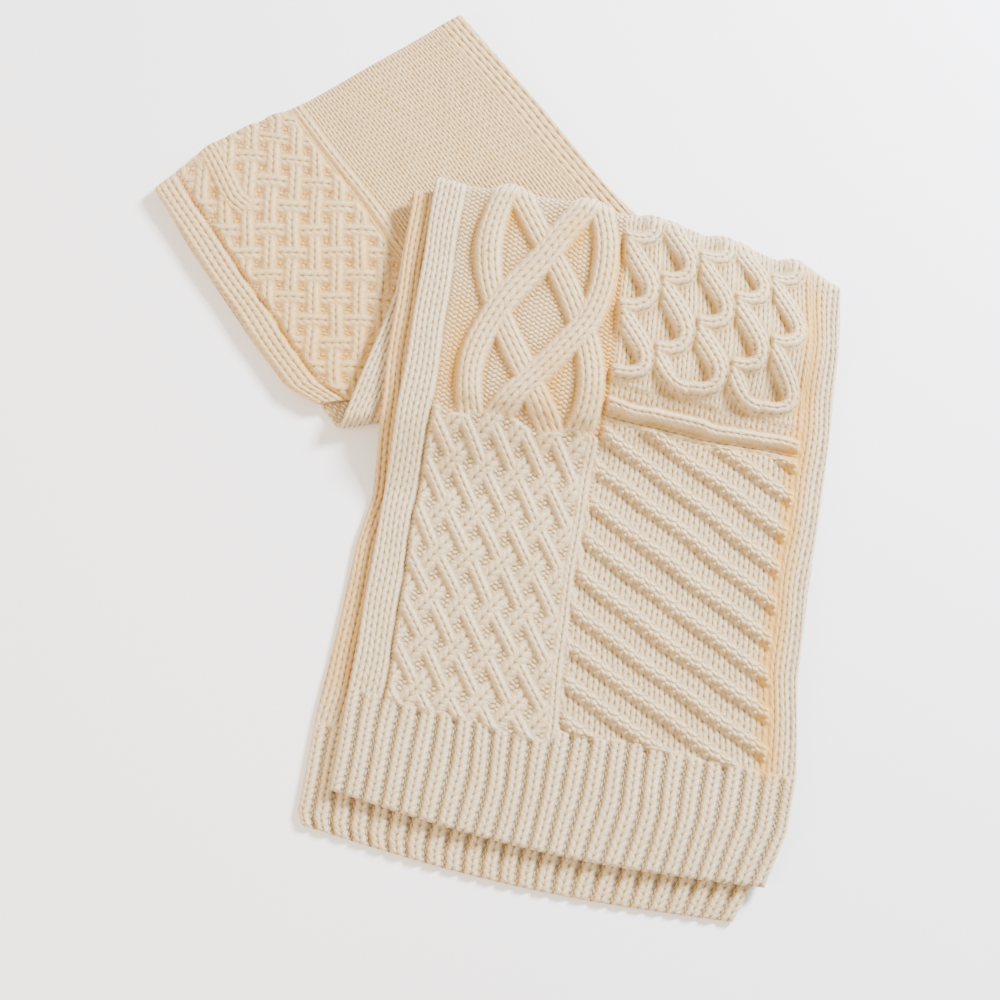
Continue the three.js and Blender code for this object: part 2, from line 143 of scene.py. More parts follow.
# The cloth's underside and its normal: along the table, then round its fold and back beneath
def underside(stretch, along, share):
    sections, lift, fold = stretch["sections"], stretch["lift"], stretch["fold"]
    end = fold["at"]
    x, y = onTable(sections, np.minimum(along, end), share)
    if "bow" in stretch:
        y = y + stretch["bow"](along, share)
    z = lift(x, y)
    reach = fold["radius"] + cloth["wall"] / 2
    turn = np.clip((along - end) / reach, 0, np.pi)
    past = np.maximum(0, along - end - np.pi * reach) * (1 + fold.get("flare", 0) * (1 - share))
    left = onTable(sections, end, 0.0)
    right = onTable(sections, end, 1.0)
    length = math.hypot(right[0] - left[0], right[1] - left[1])
    lineX, lineY = (right[0] - left[0]) / length, (right[1] - left[1]) / length
    outX, outY = -lineY * fold["side"], lineX * fold["side"]
    slide = fold["slide"] * (turn * reach + past)
    away = fold["radius"] * np.sin(turn) - past
    x = x + outX * away + lineX * slide
    y = y + outY * away + lineY * slide
    z = np.where(turn < np.pi, z, lift(x, y)) - fold["radius"] * (1 - np.cos(turn))
    normal = (outX * np.sin(turn), outY * np.sin(turn), np.cos(turn))
    return (x, y, z), normal


# Knitting, as height over the plain wall and a place counted in wales and rows. The wales and
# rows go to the UV map, so that the yarn in the material lies on the yarn in the mesh.

knitting = {
    "legAt": 0.25, "legHalf": 0.27, "legRise": 0.85, "legRound": 0.62, "plump": 2.1,
    "pinchIn": 0.45, "pinchOut": 0.55,
    "bumps": [(0.25, 1), (0.75, -1)],  # where each bump lies in its stitch, and which way it leans
    "bumpWide": 0.31, "bumpTall": 0.42, "bumpLean": 0.55,
}


def stitches(wale, row, purl):
    s = np.abs(wale - np.floor(wale) - 0.5)
    leg = np.sqrt(np.clip(1 - ((s - knitting["legAt"]) / knitting["legHalf"]) ** 2, 0, 1))
    step = row - 2 * knitting["legRise"] * s
    step = 2 * (step - np.floor(step)) - 1
    plump = np.sqrt(np.clip(1 - np.abs(step) ** knitting["plump"], 0, 1))
    pinch = knitting["legRound"] * (1 - plump) * (knitting["pinchIn"] + knitting["pinchOut"] * (1 - leg))
    knit = leg * (1 - pinch)
    bumps = 0 * wale
    for shift, lean in knitting["bumps"]:
        dx = wale + shift - np.round(wale + shift)
        dy = row + shift + lean * knitting["bumpLean"] * dx
        dy = dy - np.round(dy)
        far = (dx / knitting["bumpWide"]) ** 2 + (dy / knitting["bumpTall"]) ** 2
        bumps = np.maximum(bumps, np.sqrt(np.clip(1 - far, 0, 1)))
    return knit * (1 - purl) + bumps * purl


wandering = {"column": 0.8, "columnFine": 0.45, "row": 0.9, "rowFine": 0.4}


# Hand-made knitting is never quite even: its columns and rows wander a little
def wander(u, v):
    du = wandering["column"] * np.sin(v / 29 + 1.3) * np.sin(u / 21 + 0.4)
    du = du + wandering["columnFine"] * np.sin(v / 10.7 + u / 15 + 2.1)
    dv = wandering["row"] * np.sin(u / 26 + 0.7) * np.sin(v / 24 + 1.9)
    dv = dv + wandering["rowFine"] * np.sin(u / 9.3 - v / 19)
    return u + du, v + dv


def dome(distance, halfWidth):
    return np.sqrt(np.clip(1 - (distance / halfWidth) ** 2, 0, 1))


def lay(under, over, where):
    return tuple(np.where(where, b, a) for a, b in zip(under, over))


def plainKnit(u, v, height, wale, row):
    return height + 0 * u, u / wale, v / row, 0 * u


# Reversed stitches, which show as small zigzag bumps
def purlKnit(u, v, height, wale=6.6, row=3.3):
    return height + 0 * u, u / wale, v / row, 1 + 0 * u


# A raised line of one wale along the cloth
def ropeKnit(u, v, values):
    off = u - values["middle"]
    return values["raised"] * dome(off, values["half"]), off / values["wale"] + 70.5, v / values["row"], 0 * u


ribs = {
    "period": 290 / 23.5, "ridge": 3.25, "wale": 9.8, "half": 5.2, "flatness": 0.7, "raised": 1.9, "valley": -0.9,
    "row": 4.2, "tongue": 3.0, "tongueHalf": 6.2, "tongueBack": 1.8,
}


def ribKnit(u, v):
    index = np.floor((u - ribs["ridge"]) / ribs["period"] + 0.5)
    t = u - ribs["ridge"] - index * ribs["period"]
    half = ribs["wale"] / 2
    ridge = ribs["valley"] + (ribs["raised"] - ribs["valley"]) * dome(t, ribs["half"]) ** ribs["flatness"]
    past = np.maximum(0, np.abs(t) - half) / (ribs["period"] - ribs["wale"])
    wale = 2 * index + 0.5 + np.clip(t, -half, half) / ribs["wale"] + np.sign(t) * past
    return ridge, wale, v / ribs["row"], (past > 0) * 1.0


# Each rib ends in a rounded tongue
def ribTongue(u):
    t = (u - ribs["ridge"] + ribs["period"] / 2) % ribs["period"] - ribs["period"] / 2
    return ribs["tongue"] * dome(t, ribs["tongueHalf"]) - ribs["tongueBack"]


border = {
    "leftEnd": 24, "rightStart": 270, "middle": 284,
    "wale": 7.2, "innerWale": 7.0, "outerWale": 6.4, "row": 6.2, "raised": 0.8, "innerRaised": 0.6,
    "gapStart": 21.6, "gapDepth": -1.4, "gapWale": 5.6, "gapRow": 3.4,
    "seamDepth": 1.3, "seamHalf": 0.9, "innerSeamHalf": 1.1,
}


def inBorder(u):
    return (u < border["leftEnd"]) | (u > border["rightStart"])


def borderKnit(u, v):
    fromMiddle = u - border["middle"]
    gap = purlKnit(u, v, border["gapDepth"], border["gapWale"], border["gapRow"])
    inner = plainKnit(-fromMiddle, v, border["innerRaised"], border["innerWale"], border["row"])
    outer = plainKnit(fromMiddle, v, border["raised"], border["outerWale"], border["row"])
    knit = lay(plainKnit(u, v, border["raised"], border["wale"], border["row"]), gap, u > border["gapStart"])
    knit = lay(knit, inner, u > cloth["width"] / 2)
    knit = lay(knit, outer, fromMiddle > 0)
    seam = np.exp(-(fromMiddle / border["seamHalf"]) ** 2)
    innerSeam = np.exp(-((u - border["rightStart"]) / border["innerSeamHalf"]) ** 2)
    return (knit[0] - border["seamDepth"] * np.maximum(seam, innerSeam),) + knit[1:]


bars = {"level": 0.76, "dip": 0.24, "steepness": 1.6, "row": 5.6, "wale": 1.9, "least": 0.45}


# Two sets of slanting bars, one over the other in turn. a and b count the bars of each set.
def latticeKnit(a, b, values, ground, slantA, slantB):
    over = bars["dip"] * np.clip(-bars["steepness"] * np.cos(np.pi * a) * np.cos(np.pi * b), -1, 1)
    offA = (a - np.round(a)) * values["spacing"]
    offB = (b - np.round(b)) * values["spacing"]
    heightA = values["raised"] * dome(offA, values["half"]) * (bars["level"] + values["lean"] + over)
    heightB = values["raised"] * dome(offB, values["lowHalf"]) * (bars["level"] - values["lean"] - over)
    barA = (heightA, offA / (bars["wale"] * values["half"]) + 30.5, slantA / bars["row"], 0 * a)
    barB = (heightB, offB / (bars["wale"] * values["lowHalf"]) + 30.5, slantB / bars["row"], 0 * a)
    knit = lay(ground, barB, heightB > np.maximum(ground[0], bars["least"]))
    return lay(knit, barA, heightA > np.maximum(knit[0], bars["least"]))


trellis = {
    "across": 21, "along": 31, "downRight": 0.45, "downLeft": -0.37, "spacing": 16.8,
    "half": 4.5, "lowHalf": 6.0, "raised": 3.1, "lean": 0.2, "ground": 0.9,
}


def trellisKnit(u, v):
    a = u / trellis["across"] + v / trellis["along"] - trellis["downRight"]
    b = u / trellis["across"] - v / trellis["along"] - trellis["downLeft"]
    ground = purlKnit(u, v, trellis["ground"])
    return latticeKnit(a, b, trellis, ground, 0.8 * v - 0.6 * u, 0.8 * v + 0.6 * u)


# Where one pattern of the front ends and the next begins
seams = {
    "ribTop": 63, "left": 263, "leftWaver": 3, "column": 137, "gapHalf": 0.9, "gapDepth": 1.4,
    "ropeStart": 128.2, "ropeEnd": 135.9, "cordStart": 277.6, "cordEnd": 294,
}
# Places across the front, and how far up its rib reaches there
ribTopAt = {"across": [0, 35, 68, 101, 131, 136, 290], "height": [65, 61.6, 60.5, 58.8, 56, 64.5, 65]}

braid = {
    "middle": 85, "reach": 41, "half": 9.0, "crossing": 387, "step": 95, "flatness": 0.8,
    "raised": 5.8, "under": 0.3, "sunk": 0.1, "startRise": 0.35, "startLength": 12,
    "wale": 8.8, "row": 6.2, "rowLean": 0.35, "ground": -0.4,
    "crossingShare": 1.9, "stillShare": 0.1,  # how soon a strand counts as crossing, and as running straight
}


def braidKnit(u, v):
    knit = purlKnit(u, v, braid["ground"])
    rise = braid["startRise"] + (1 - braid["startRise"]) * smoothStep((v - seams["left"] - 1) / braid["startLength"])
    for k in (0, 2, 1, 3):
        phase = ((v - braid["crossing"]) / braid["step"] + k) % 4
        toTop = np.where(phase < 2, 1.0, -1.0)
        ahead = np.where(phase < 2, phase, phase - 2) * braid["step"]
        swing = np.where(ahead < braid["step"], ahead, ahead - 2 * braid["step"])
        turn = 0.5 * np.pi * swing / braid["step"]
        slope = 0.5 * np.pi * braid["reach"] / braid["step"] * np.cos(turn)
        moving = smoothStep(braid["crossingShare"] * np.cos(turn) - braid["stillShare"])
        down = np.where(toTop > 0, 0.0, 1.0) * moving
        off = (u - braid["middle"] - toTop * braid["reach"] * np.sin(turn)) / np.sqrt(1 + slope ** 2)
        height = braid["raised"] * rise * (1 - braid["under"] * down) * dome(off, braid["half"]) ** braid["flatness"]
        height = height - braid["sunk"] * down
        along = v + braid["rowLean"] * off * moving
        strand = (height, off / braid["wale"] + 40, along / braid["row"], 0 * u)
        knit = lay(knit, strand, (height > knit[0]) & (np.abs(off) < braid["half"]))
    return knit


honeycomb = {
    "first": 152, "column": 25.3, "lastColumn": 4, "hookStart": 401, "step": 49, "end": 302.5,
    "wide": 8.3, "narrow": 5.6, "narrowFrom": 26, "narrowAt": 52, "lastLess": 20,
    "raised": 5.7, "flatness": 0.8, "wale": 8.8, "row": 5.2,
    "ground": 1.9, "groundWale": 6.325, "groundRow": 5.6, "splitDepth": 1.5, "splitHalf": 0.9,
    "pocketDepth": 2.3, "pocketAt": (-2, 28), "pocketHalf": (9.5, 10.5),
    "plain": 0.5, "plainWale": 7.4, "plainRow": 5.4,
}

# The middle of one strand, in millimetres across its column and down from its start. The lowest
# strand of every second column runs on into the next column.
hookPath = [(-15, -6), (-8, 3), (-2, 10.5), (3.5, 18), (6.6, 25), (6.4, 32), (3.0, 37.5), (-3, 40.5), (-14, 41.5)]
lastPath = [(-15, -6), (-8.5, 3), (-4, 10), (2, 15.5), (8, 17.5), (15, 17.0)]


def alongPath(path, x, y):
    off, run = np.full_like(x, 99.0), np.zeros_like(x)
    gone = 0.0
    for (ax, ay), (bx, by) in zip(path, path[1:]):
        length = math.hypot(bx - ax, by - ay)
        dx, dy = (bx - ax) / length, (by - ay) / length
        t = np.clip((x - ax) * dx + (y - ay) * dy, 0, length)
        away = np.hypot(x - ax - t * dx, y - ay - t * dy)
        nearer = away < np.abs(off)
        off = np.where(nearer, np.where((x - ax) * dy - (y - ay) * dx > 0, away, -away), off)
        run = np.where(nearer, gone + t, run)
        gone += length
    return off, run


# Columns of fat strands, each sweeping across its column and curling back beneath a pocket
def honeycombKnit(u, v):
    column = np.clip(np.round((u - honeycomb["first"]) / honeycomb["column"]), 0, honeycomb["lastColumn"])
    off = u - honeycomb["first"] - column * honeycomb["column"]
    odd = column % 2 == 1
    start = honeycomb["hookStart"] - 0.5 * honeycomb["step"] * odd
    inPocket = (off - honeycomb["pocketAt"][0]) / honeycomb["pocketHalf"][0]
    downPocket = ((start - v) % honeycomb["step"] - honeycomb["pocketAt"][1]) / honeycomb["pocketHalf"][1]
    ground = honeycomb["ground"] - honeycomb["pocketDepth"] * np.exp(-inPocket ** 4 - downPocket ** 4)
    knit = plainKnit(off, v, ground, honeycomb["groundWale"], honeycomb["groundRow"])
    for turn in (-1, 0, 1):
        down = start - turn * honeycomb["step"] - v
        aside, run = alongPath(hookPath, off, down)
        slim = run
        if turn == 1:
            lastAside, lastRun = alongPath(lastPath, off, down)
            aside = np.where(odd, lastAside, aside)
            slim = np.where(odd, lastRun + honeycomb["lastLess"], run)
            run = np.where(odd, lastRun, run)
        fullness = smoothStep((honeycomb["narrowAt"] - slim) / honeycomb["narrowFrom"])
        half = honeycomb["narrow"] + (honeycomb["wide"] - honeycomb["narrow"]) * fullness
        height = honeycomb["raised"] * dome(aside, half) ** honeycomb["flatness"]
        strand = (height, aside / honeycomb["wale"] + 40.5, run / honeycomb["row"] + 10, 0 * u)
        knit = lay(knit, strand, height > np.maximum(knit[0], 0.4))
    split = np.exp(-((0.5 * honeycomb["column"] - np.abs(off)) / honeycomb["splitHalf"]) ** 2)
    knit = (knit[0] - honeycomb["splitDepth"] * split,) + knit[1:]
    plain = plainKnit(u, v, honeycomb["plain"], honeycomb["plainWale"], honeycomb["plainRow"])
    return lay(knit, plain, v < honeycomb["end"])


welts = {
    "start": 136, "first": 271.5, "spacing": 24.6, "slope": 0.53, "wale": 7.4, "row": 5.4, "raised": 3.5, "half": 5.4,
    "purlRow": 4.4, "grooveDepth": 0.5, "grooveAt": -6.4, "grooveHalf": 2.6, "lumps": 0.13, "slowLumps": 0.1,
}


# Slanting purl ridges, stepped at each wale, on plain knitting
def weltKnit(u, v):
    stepped = (np.floor(u / welts["wale"]) + 0.5) * welts["wale"]
    across = 0.5 * u + 0.5 * stepped
    turns = (v - welts["first"] + welts["slope"] * (across - welts["start"])) / welts["spacing"]
    near = (turns - np.round(turns)) * welts["spacing"]
    groove = np.exp(-((near - welts["grooveAt"]) / welts["grooveHalf"]) ** 2)
    plain = plainKnit(u, v, -welts["grooveDepth"] * groove, welts["wale"], welts["row"])
    lumpy = 1 + welts["lumps"] * np.sin(2 * np.pi * u / welts["wale"])
    lumpy = lumpy + welts["slowLumps"] * np.sin(u / 5.1 + v / 7.3)
    height = welts["raised"] * lumpy * dome(near, welts["half"])
    ridge = (height, u / welts["wale"], near / welts["purlRow"] + 0.3, 1 + 0 * u)
    return lay(plain, ridge, np.abs(near) < welts["half"] - 0.2)


# A thick cord welt on a shaded purl row, with one small welt beneath
cord = {
    "middle": 288.5, "raised": 4.7, "half": 5.0, "shown": 4.8, "wale": 10.0, "row": 5.2, "twist": 9,
    "waver": 0.35, "fineWaver": 0.3, "lumps": 0.1, "slowLumps": 0.08,
    "lower": 280.8, "lowerRaised": 0.4, "lowerHalf": 3.0, "lowerShown": 2.6, "lowerWale": 6.0,
    "shade": -0.6, "shadeWale": 6.4, "shadeRow": 3.4,
}


def cordKnit(u, v):
    up = v - cord["middle"] + cord["waver"] * np.sin(u / 11) + cord["fineWaver"] * np.sin(u / 4.7)
    lumpy = 1 + cord["lumps"] * np.sin(u / 2.9) + cord["slowLumps"] * np.sin(u / 7.7 + 1)
    height = cord["raised"] * lumpy * dome(up, cord["half"])
    thick = (height, up / cord["wale"] + 0.5, u / cord["row"] + up / cord["twist"], 0 * u)
    low = v - cord["lower"]
    lowHeight = cord["lowerRaised"] * (dome(low, cord["lowerHalf"]) - 1)
    lower = (lowHeight, low / cord["lowerWale"] + 0.5, u / cord["lowerWale"], 0 * u)
    shade = purlKnit(u, v, cord["shade"], cord["shadeWale"], cord["shadeRow"])
    knit = lay(shade, lower, np.abs(low) < cord["lowerShown"])
    return lay(knit, thick, np.abs(up) < cord["shown"])


frontRope = {"middle": 132, "half": 4.3, "raised": 1.8, "wale": 7.8, "row": 5.6}


def frontKnit(u, v):
    ribTop = np.interp(u, ribTopAt["across"], ribTopAt["height"]) + ribTongue(u)
    leftSeam = seams["left"] + seams["leftWaver"] * np.sin(u / 9.0)
    onLeft = u < seams["column"] + 1
    inRope = (u > seams["ropeStart"]) & (u < seams["ropeEnd"])
    knit = weltKnit(u, v)
    knit = lay(knit, cordKnit(u, v), (v > seams["cordStart"]) & (v < seams["cordEnd"]))
    knit = lay(knit, honeycombKnit(u, v), v > seams["cordEnd"])
    knit = lay(knit, trellisKnit(u, v), onLeft & (v <= leftSeam))
    knit = lay(knit, braidKnit(u, v), onLeft & (v > leftSeam))
    knit = lay(knit, ropeKnit(u, v, frontRope), inRope & (v <= leftSeam))
    knit = lay(knit, borderKnit(u, v), inBorder(u))
    gap = np.exp(-((u - seams["column"]) / seams["gapHalf"]) ** 2) * (v > 60) * (v < seams["left"])
    knit = (knit[0] - seams["gapDepth"] * gap,) + knit[1:]
    return lay(knit, ribKnit(u, v), v < ribTop)


# How much lower the knitting of the layers beneath is, pressed by what lies on it
pressed = {
    "underBody": 0.8, "underRib": 1.5, "turned": 0.6, "hidden": 0.4,
    "wale": 7.4, "turnedWale": 7.8, "row": 5.6,
}


def underKnit(u, v):
    plain = (0 * u,) + weltKnit(u, v)[1:]
    knit = lay(plain, borderKnit(u, v), inBorder(u))
    knit = (knit[0] - pressed["underBody"],) + knit[1:]
    ribbed = ribKnit(u, v)
    return lay(knit, (ribbed[0] - pressed["underRib"],) + ribbed[1:], v < seams["ribTop"] + ribTongue(u))


def turnedKnit(u, v):
    plain = plainKnit(u, v, -pressed["turned"], pressed["turnedWale"], pressed["row"])
    knit = lay(plain, borderKnit(u, v), inBorder(u))
    return (knit[0] - pressed["turned"],) + knit[1:]


lattice = {
    "x": -181, "y": 178, "along": 17, "spacing": 16.4, "half": 5.6, "lowHalf": 5.6, "raised": 2.4, "lean": 0.12,
    "ground": 0.3,
}
backRope = {"middle": 132, "half": 4.4, "shown": 4.2, "raised": 1.7, "wale": 8.4, "row": 5.6}
backStrand = {
    "start": 152, "startLength": 10, "at": 47, "atAlong": 178, "slant": 0.1, "bend": 9, "bendFrom": 170,
    "bendLength": 22, "raised": 3.4, "half": 9.5, "wale": 8.4, "row": 5.8,
}
backPlain = {"start": 124, "height": 0.3, "wale": 5.4, "row": 4.0}
backBorder = {"wale": 9.3, "row": 6.0, "leftEnd": 18.6, "gapEnd": 21.5, "gapDepth": -0.8, "rightStart": 268}
backCoverLeft = {"x": -106, "y": 58, "toX": -62, "toY": 218}
backCoverTop = {"x": -62, "y": 222, "toX": 120, "toY": 168, "spare": 10}


def backKnit(u, v):
    x, y = onTable(backSections, np.minimum(v, backFold["at"]), u / cloth["width"])
    clear = np.maximum(leftOf(backCoverLeft, x, y), leftOf(backCoverTop, x, y) - backCoverTop["spare"])
    a = (x - lattice["x"]) / lattice["spacing"]
    b = (y - lattice["y"]) / lattice["along"]
    knit = latticeKnit(a, b, lattice, purlKnit(u, v, lattice["ground"]), y, x)
    plain = plainKnit(u, v, backPlain["height"], backPlain["wale"], backPlain["row"])
    knit = lay(knit, plain, u > backPlain["start"])
    knit = lay(knit, ropeKnit(u, v, backRope), np.abs(u - backRope["middle"]) < backRope["shown"])

    bend = backStrand["bend"] * smoothStep((backStrand["bendFrom"] - v) / backStrand["bendLength"])
    off = u - (backStrand["at"] + backStrand["slant"] * (v - backStrand["atAlong"]) + bend)
    rise = smoothStep((v - backStrand["start"]) / backStrand["startLength"])
    height = backStrand["raised"] * dome(off, backStrand["half"]) * rise
    strand = (height, off / backStrand["wale"] + 40, v / backStrand["row"], 0 * u)
    knit = lay(knit, strand, (height > knit[0]) & (v > backStrand["start"]))

    gap = purlKnit(u, v, backBorder["gapDepth"], border["gapWale"], border["gapRow"])
    left = plainKnit(u, v, border["raised"], backBorder["wale"], backBorder["row"])
    right = plainKnit(cloth["width"] - u, v, border["raised"], backBorder["wale"], backBorder["row"])
    knit = lay(knit, gap, u < backBorder["gapEnd"])
    knit = lay(knit, left, u < backBorder["leftEnd"])
    knit = lay(knit, right, u > backBorder["rightStart"])
    return (knit[0] * smoothStep((clear - 1) / 8),) + knit[1:]  # flat where the front lies on it


def hiddenKnit(u, v):
    return plainKnit(u, v, -pressed["hidden"], pressed["wale"], pressed["row"])


# How warm the light is that the wool passes on, from 0 in full daylight to about 2 in deep shade
warmth = {
    "rib": 0.05, "trellis": 0.25, "welts": 0.3, "braid": 0.75, "honeycomb": 0.6, "spot": 1.5,
    "strip": 2.2, "stripStart": 263, "stripEnd": 279, "coolEdge": 23, "foldCooler": 0.75,
    "back": 1.25, "backShaded": 0.5, "backBorderLess": 0.3, "floor": 0.6, "middle": 0.9, "beneath": 0.5,
    "under": 0.25, "underShaded": 1.6, "turned": 0.2, "turnedShaded": 0.7,
}
# Hollows beside the braid, given painted warm shade, each as its middle u, v and its half width and height in mm
warmShadeSpots = [(104, 412, 7, 26), (101, 285, 8, 30), (31, 300, 7, 45), (134, 340, 5, 70), (62, 415, 6, 20)]


def frontWarm(u, v):
    onLeft = u < seams["column"]
    upper = (v > seams["left"]) & (u > border["leftEnd"]) & (u < border["rightStart"])
    warm = np.where(v < seams["ribTop"] + 1, warmth["rib"], np.where(onLeft, warmth["trellis"], warmth["welts"]))
    warm = np.where(upper, np.where(onLeft, warmth["braid"], warmth["honeycomb"]), warm)
    for atU, atV, wide, tall in warmShadeSpots:
        warm = warm + warmth["spot"] * np.exp(-((u - atU) / wide) ** 2 - ((v - atV) / tall) ** 2)
    inStrip = (u > warmth["stripStart"]) & (u < warmth["stripEnd"]) & (v > 60)
    warm = np.where(inStrip, warmth["strip"], warm)
    warm = warm * (1 - warmth["foldCooler"] * smoothStep((v - 400) / 30))  # the fold turns to the window
    return blurred(np.where((u < warmth["coolEdge"]) | (u > warmth["stripEnd"]), 0.0, warm), 4)


def underWarm(u, v):
    return warmth["under"] + warmth["underShaded"] * smoothStep((v - 56) / 50)


def turnedWarm(u, v):
    return warmth["turned"] + warmth["turnedShaded"] * (u > 22)


def backWarm(u, v):
    return warmth["back"] + warmth["backShaded"] * smoothStep(1 - v / 150) - warmth["backBorderLess"] * (u < 21)


def evenWarm(amount):
    return lambda u, v: amount + 0 * u


# Laying the cloth

frontFold = {"at": 420, "radius": cloth["openFold"] + cloth["slack"], "side": 1, "slide": -0.13}
underFold = {"at": 436, "radius": cloth["shutFold"], "side": 1, "slide": -0.13}
turnedFold = {"at": 163, "radius": cloth["openFold"], "side": -1, "slide": -0.53, "flare": 0.5}
backFold = {"at": 201, "radius": cloth["shutFold"], "side": 1, "slide": 0}
noFold = {"at": 1000, "radius": cloth["shutFold"], "side": 1, "slide": 0}


def foldEnd(fold, more):
    return fold["at"] + math.pi * (fold["radius"] + cloth["wall"] / 2) + more


# How far the cloth bows from its straight sections, in mm
bows = {
    "frontHem": 9, "underHem": 8, "hemLength": 60, "back": 8, "backFrom": 120, "backLength": 80,
    "fold": 10, "foldFrom": 320, "foldLength": 100, "corner": 7, "cornerShare": 0.92,
}


def hemBow(depth):
    return lambda along, share: -depth * np.sin(np.pi * share) * (1 - smoothStep(along / bows["hemLength"]))


# The upper fold bulges towards its rounded right end
def frontBow(along, share):
    corner = smoothStep((share - bows["cornerShare"]) / (1 - bows["cornerShare"]))
    bulge = bows["fold"] * smoothStep(share / 0.4) - bows["corner"] * corner
    bulge = bulge * smoothStep((along - bows["foldFrom"]) / bows["foldLength"])
    return hemBow(bows["frontHem"])(along, share) + bulge


def backBow(along, share):
    rise = smoothStep((along - bows["backFrom"]) / bows["backLength"])
    return bows["back"] * np.sin(np.pi * np.minimum(1, 2.2 * share)) * rise


front = {
    "sections": frontSections, "lift": lambda x, y: cloth["layer"] + cloth["slack"] + frontLift(x, y),
    "fold": frontFold, "knit": frontKnit, "bow": frontBow, "warm": frontWarm,
}
under = {
    "sections": underSections, "lift": frontLift,
    "fold": underFold, "knit": underKnit, "bow": hemBow(bows["underHem"]), "warm": underWarm,
}
turned = {
    "sections": turnedSections, "lift": lambda x, y: cloth["layer"] + backLift(x, y),
    "fold": turnedFold, "knit": turnedKnit, "warm": turnedWarm,
}
back = {
    "sections": backSections, "lift": lambda x, y: cloth["layer"] + 0 * x,
    "fold": backFold, "knit": backKnit, "bow": backBow, "warm": backWarm,
}
floorLayer = {
    "sections": floorSections, "lift": lambda x, y: 0 * x,
    "fold": noFold, "knit": hiddenKnit, "warm": evenWarm(warmth["floor"]),
}
middleLayer = {
    "sections": middleSections, "lift": backLift,
    "fold": noFold, "knit": hiddenKnit, "warm": evenWarm(warmth["middle"]),
}

rimSteps = [0, 0.12, 0.45, 1.0, 1.7]
purlSide = {"wale": 5.2, "row": 3.6}  # the reversed stitches of the underside


def spread(start, end, step):
    return list(np.linspace(start, end, max(2, int(round((end - start) / step)) + 1)))


# Places across the cloth, each stretch of them with its own step, rounded at both edges
def acrossCloth(*runs):
    width = cloth["width"]
    places = list(rimSteps)
    for start, end, step in runs:
        places += [p for p in spread(start, end, step) if p > places[-1] + 0.2]
    places = [p for p in places if p < width - 1.9]
    return np.array(places + [width - p for p in reversed(rimSteps)])


def blurred(values, reach):
    padded = np.pad(values, reach, mode="edge")
    total = np.cumsum(padded, axis=0)
    total = (total[2 * reach:] - np.vstack([np.zeros(padded.shape[1]), total[:-2 * reach - 1]])) / (2 * reach + 1)
    total = np.cumsum(total, axis=1)
    first = np.hstack([np.zeros((total.shape[0], 1)), total[:, :-2 * reach - 1]])
    return (total[:, 2 * reach:] - first) / (2 * reach + 1)


# 1 at places where one pattern stops and the next begins
def jumps(values):
    marked = np.zeros_like(values)
    sideways = np.abs(np.diff(values, axis=1)) > 0.6
    upwards = np.abs(np.diff(values, axis=0)) > 0.6
    marked[:, :-1] += sideways
    marked[:, 1:] += sideways
    marked[:-1] += upwards
    marked[1:] += upwards
    return np.clip(marked, 0, 1)


def addGrid(name, across, along):
    bpy.ops.object.select_all(action="DESELECT")
    bpy.ops.mesh.primitive_grid_add(x_subdivisions=across - 1, y_subdivisions=along - 1, size=1)
    piece = bpy.context.active_object
    piece.name = name
    assert len(piece.data.vertices) == across * along
    return piece


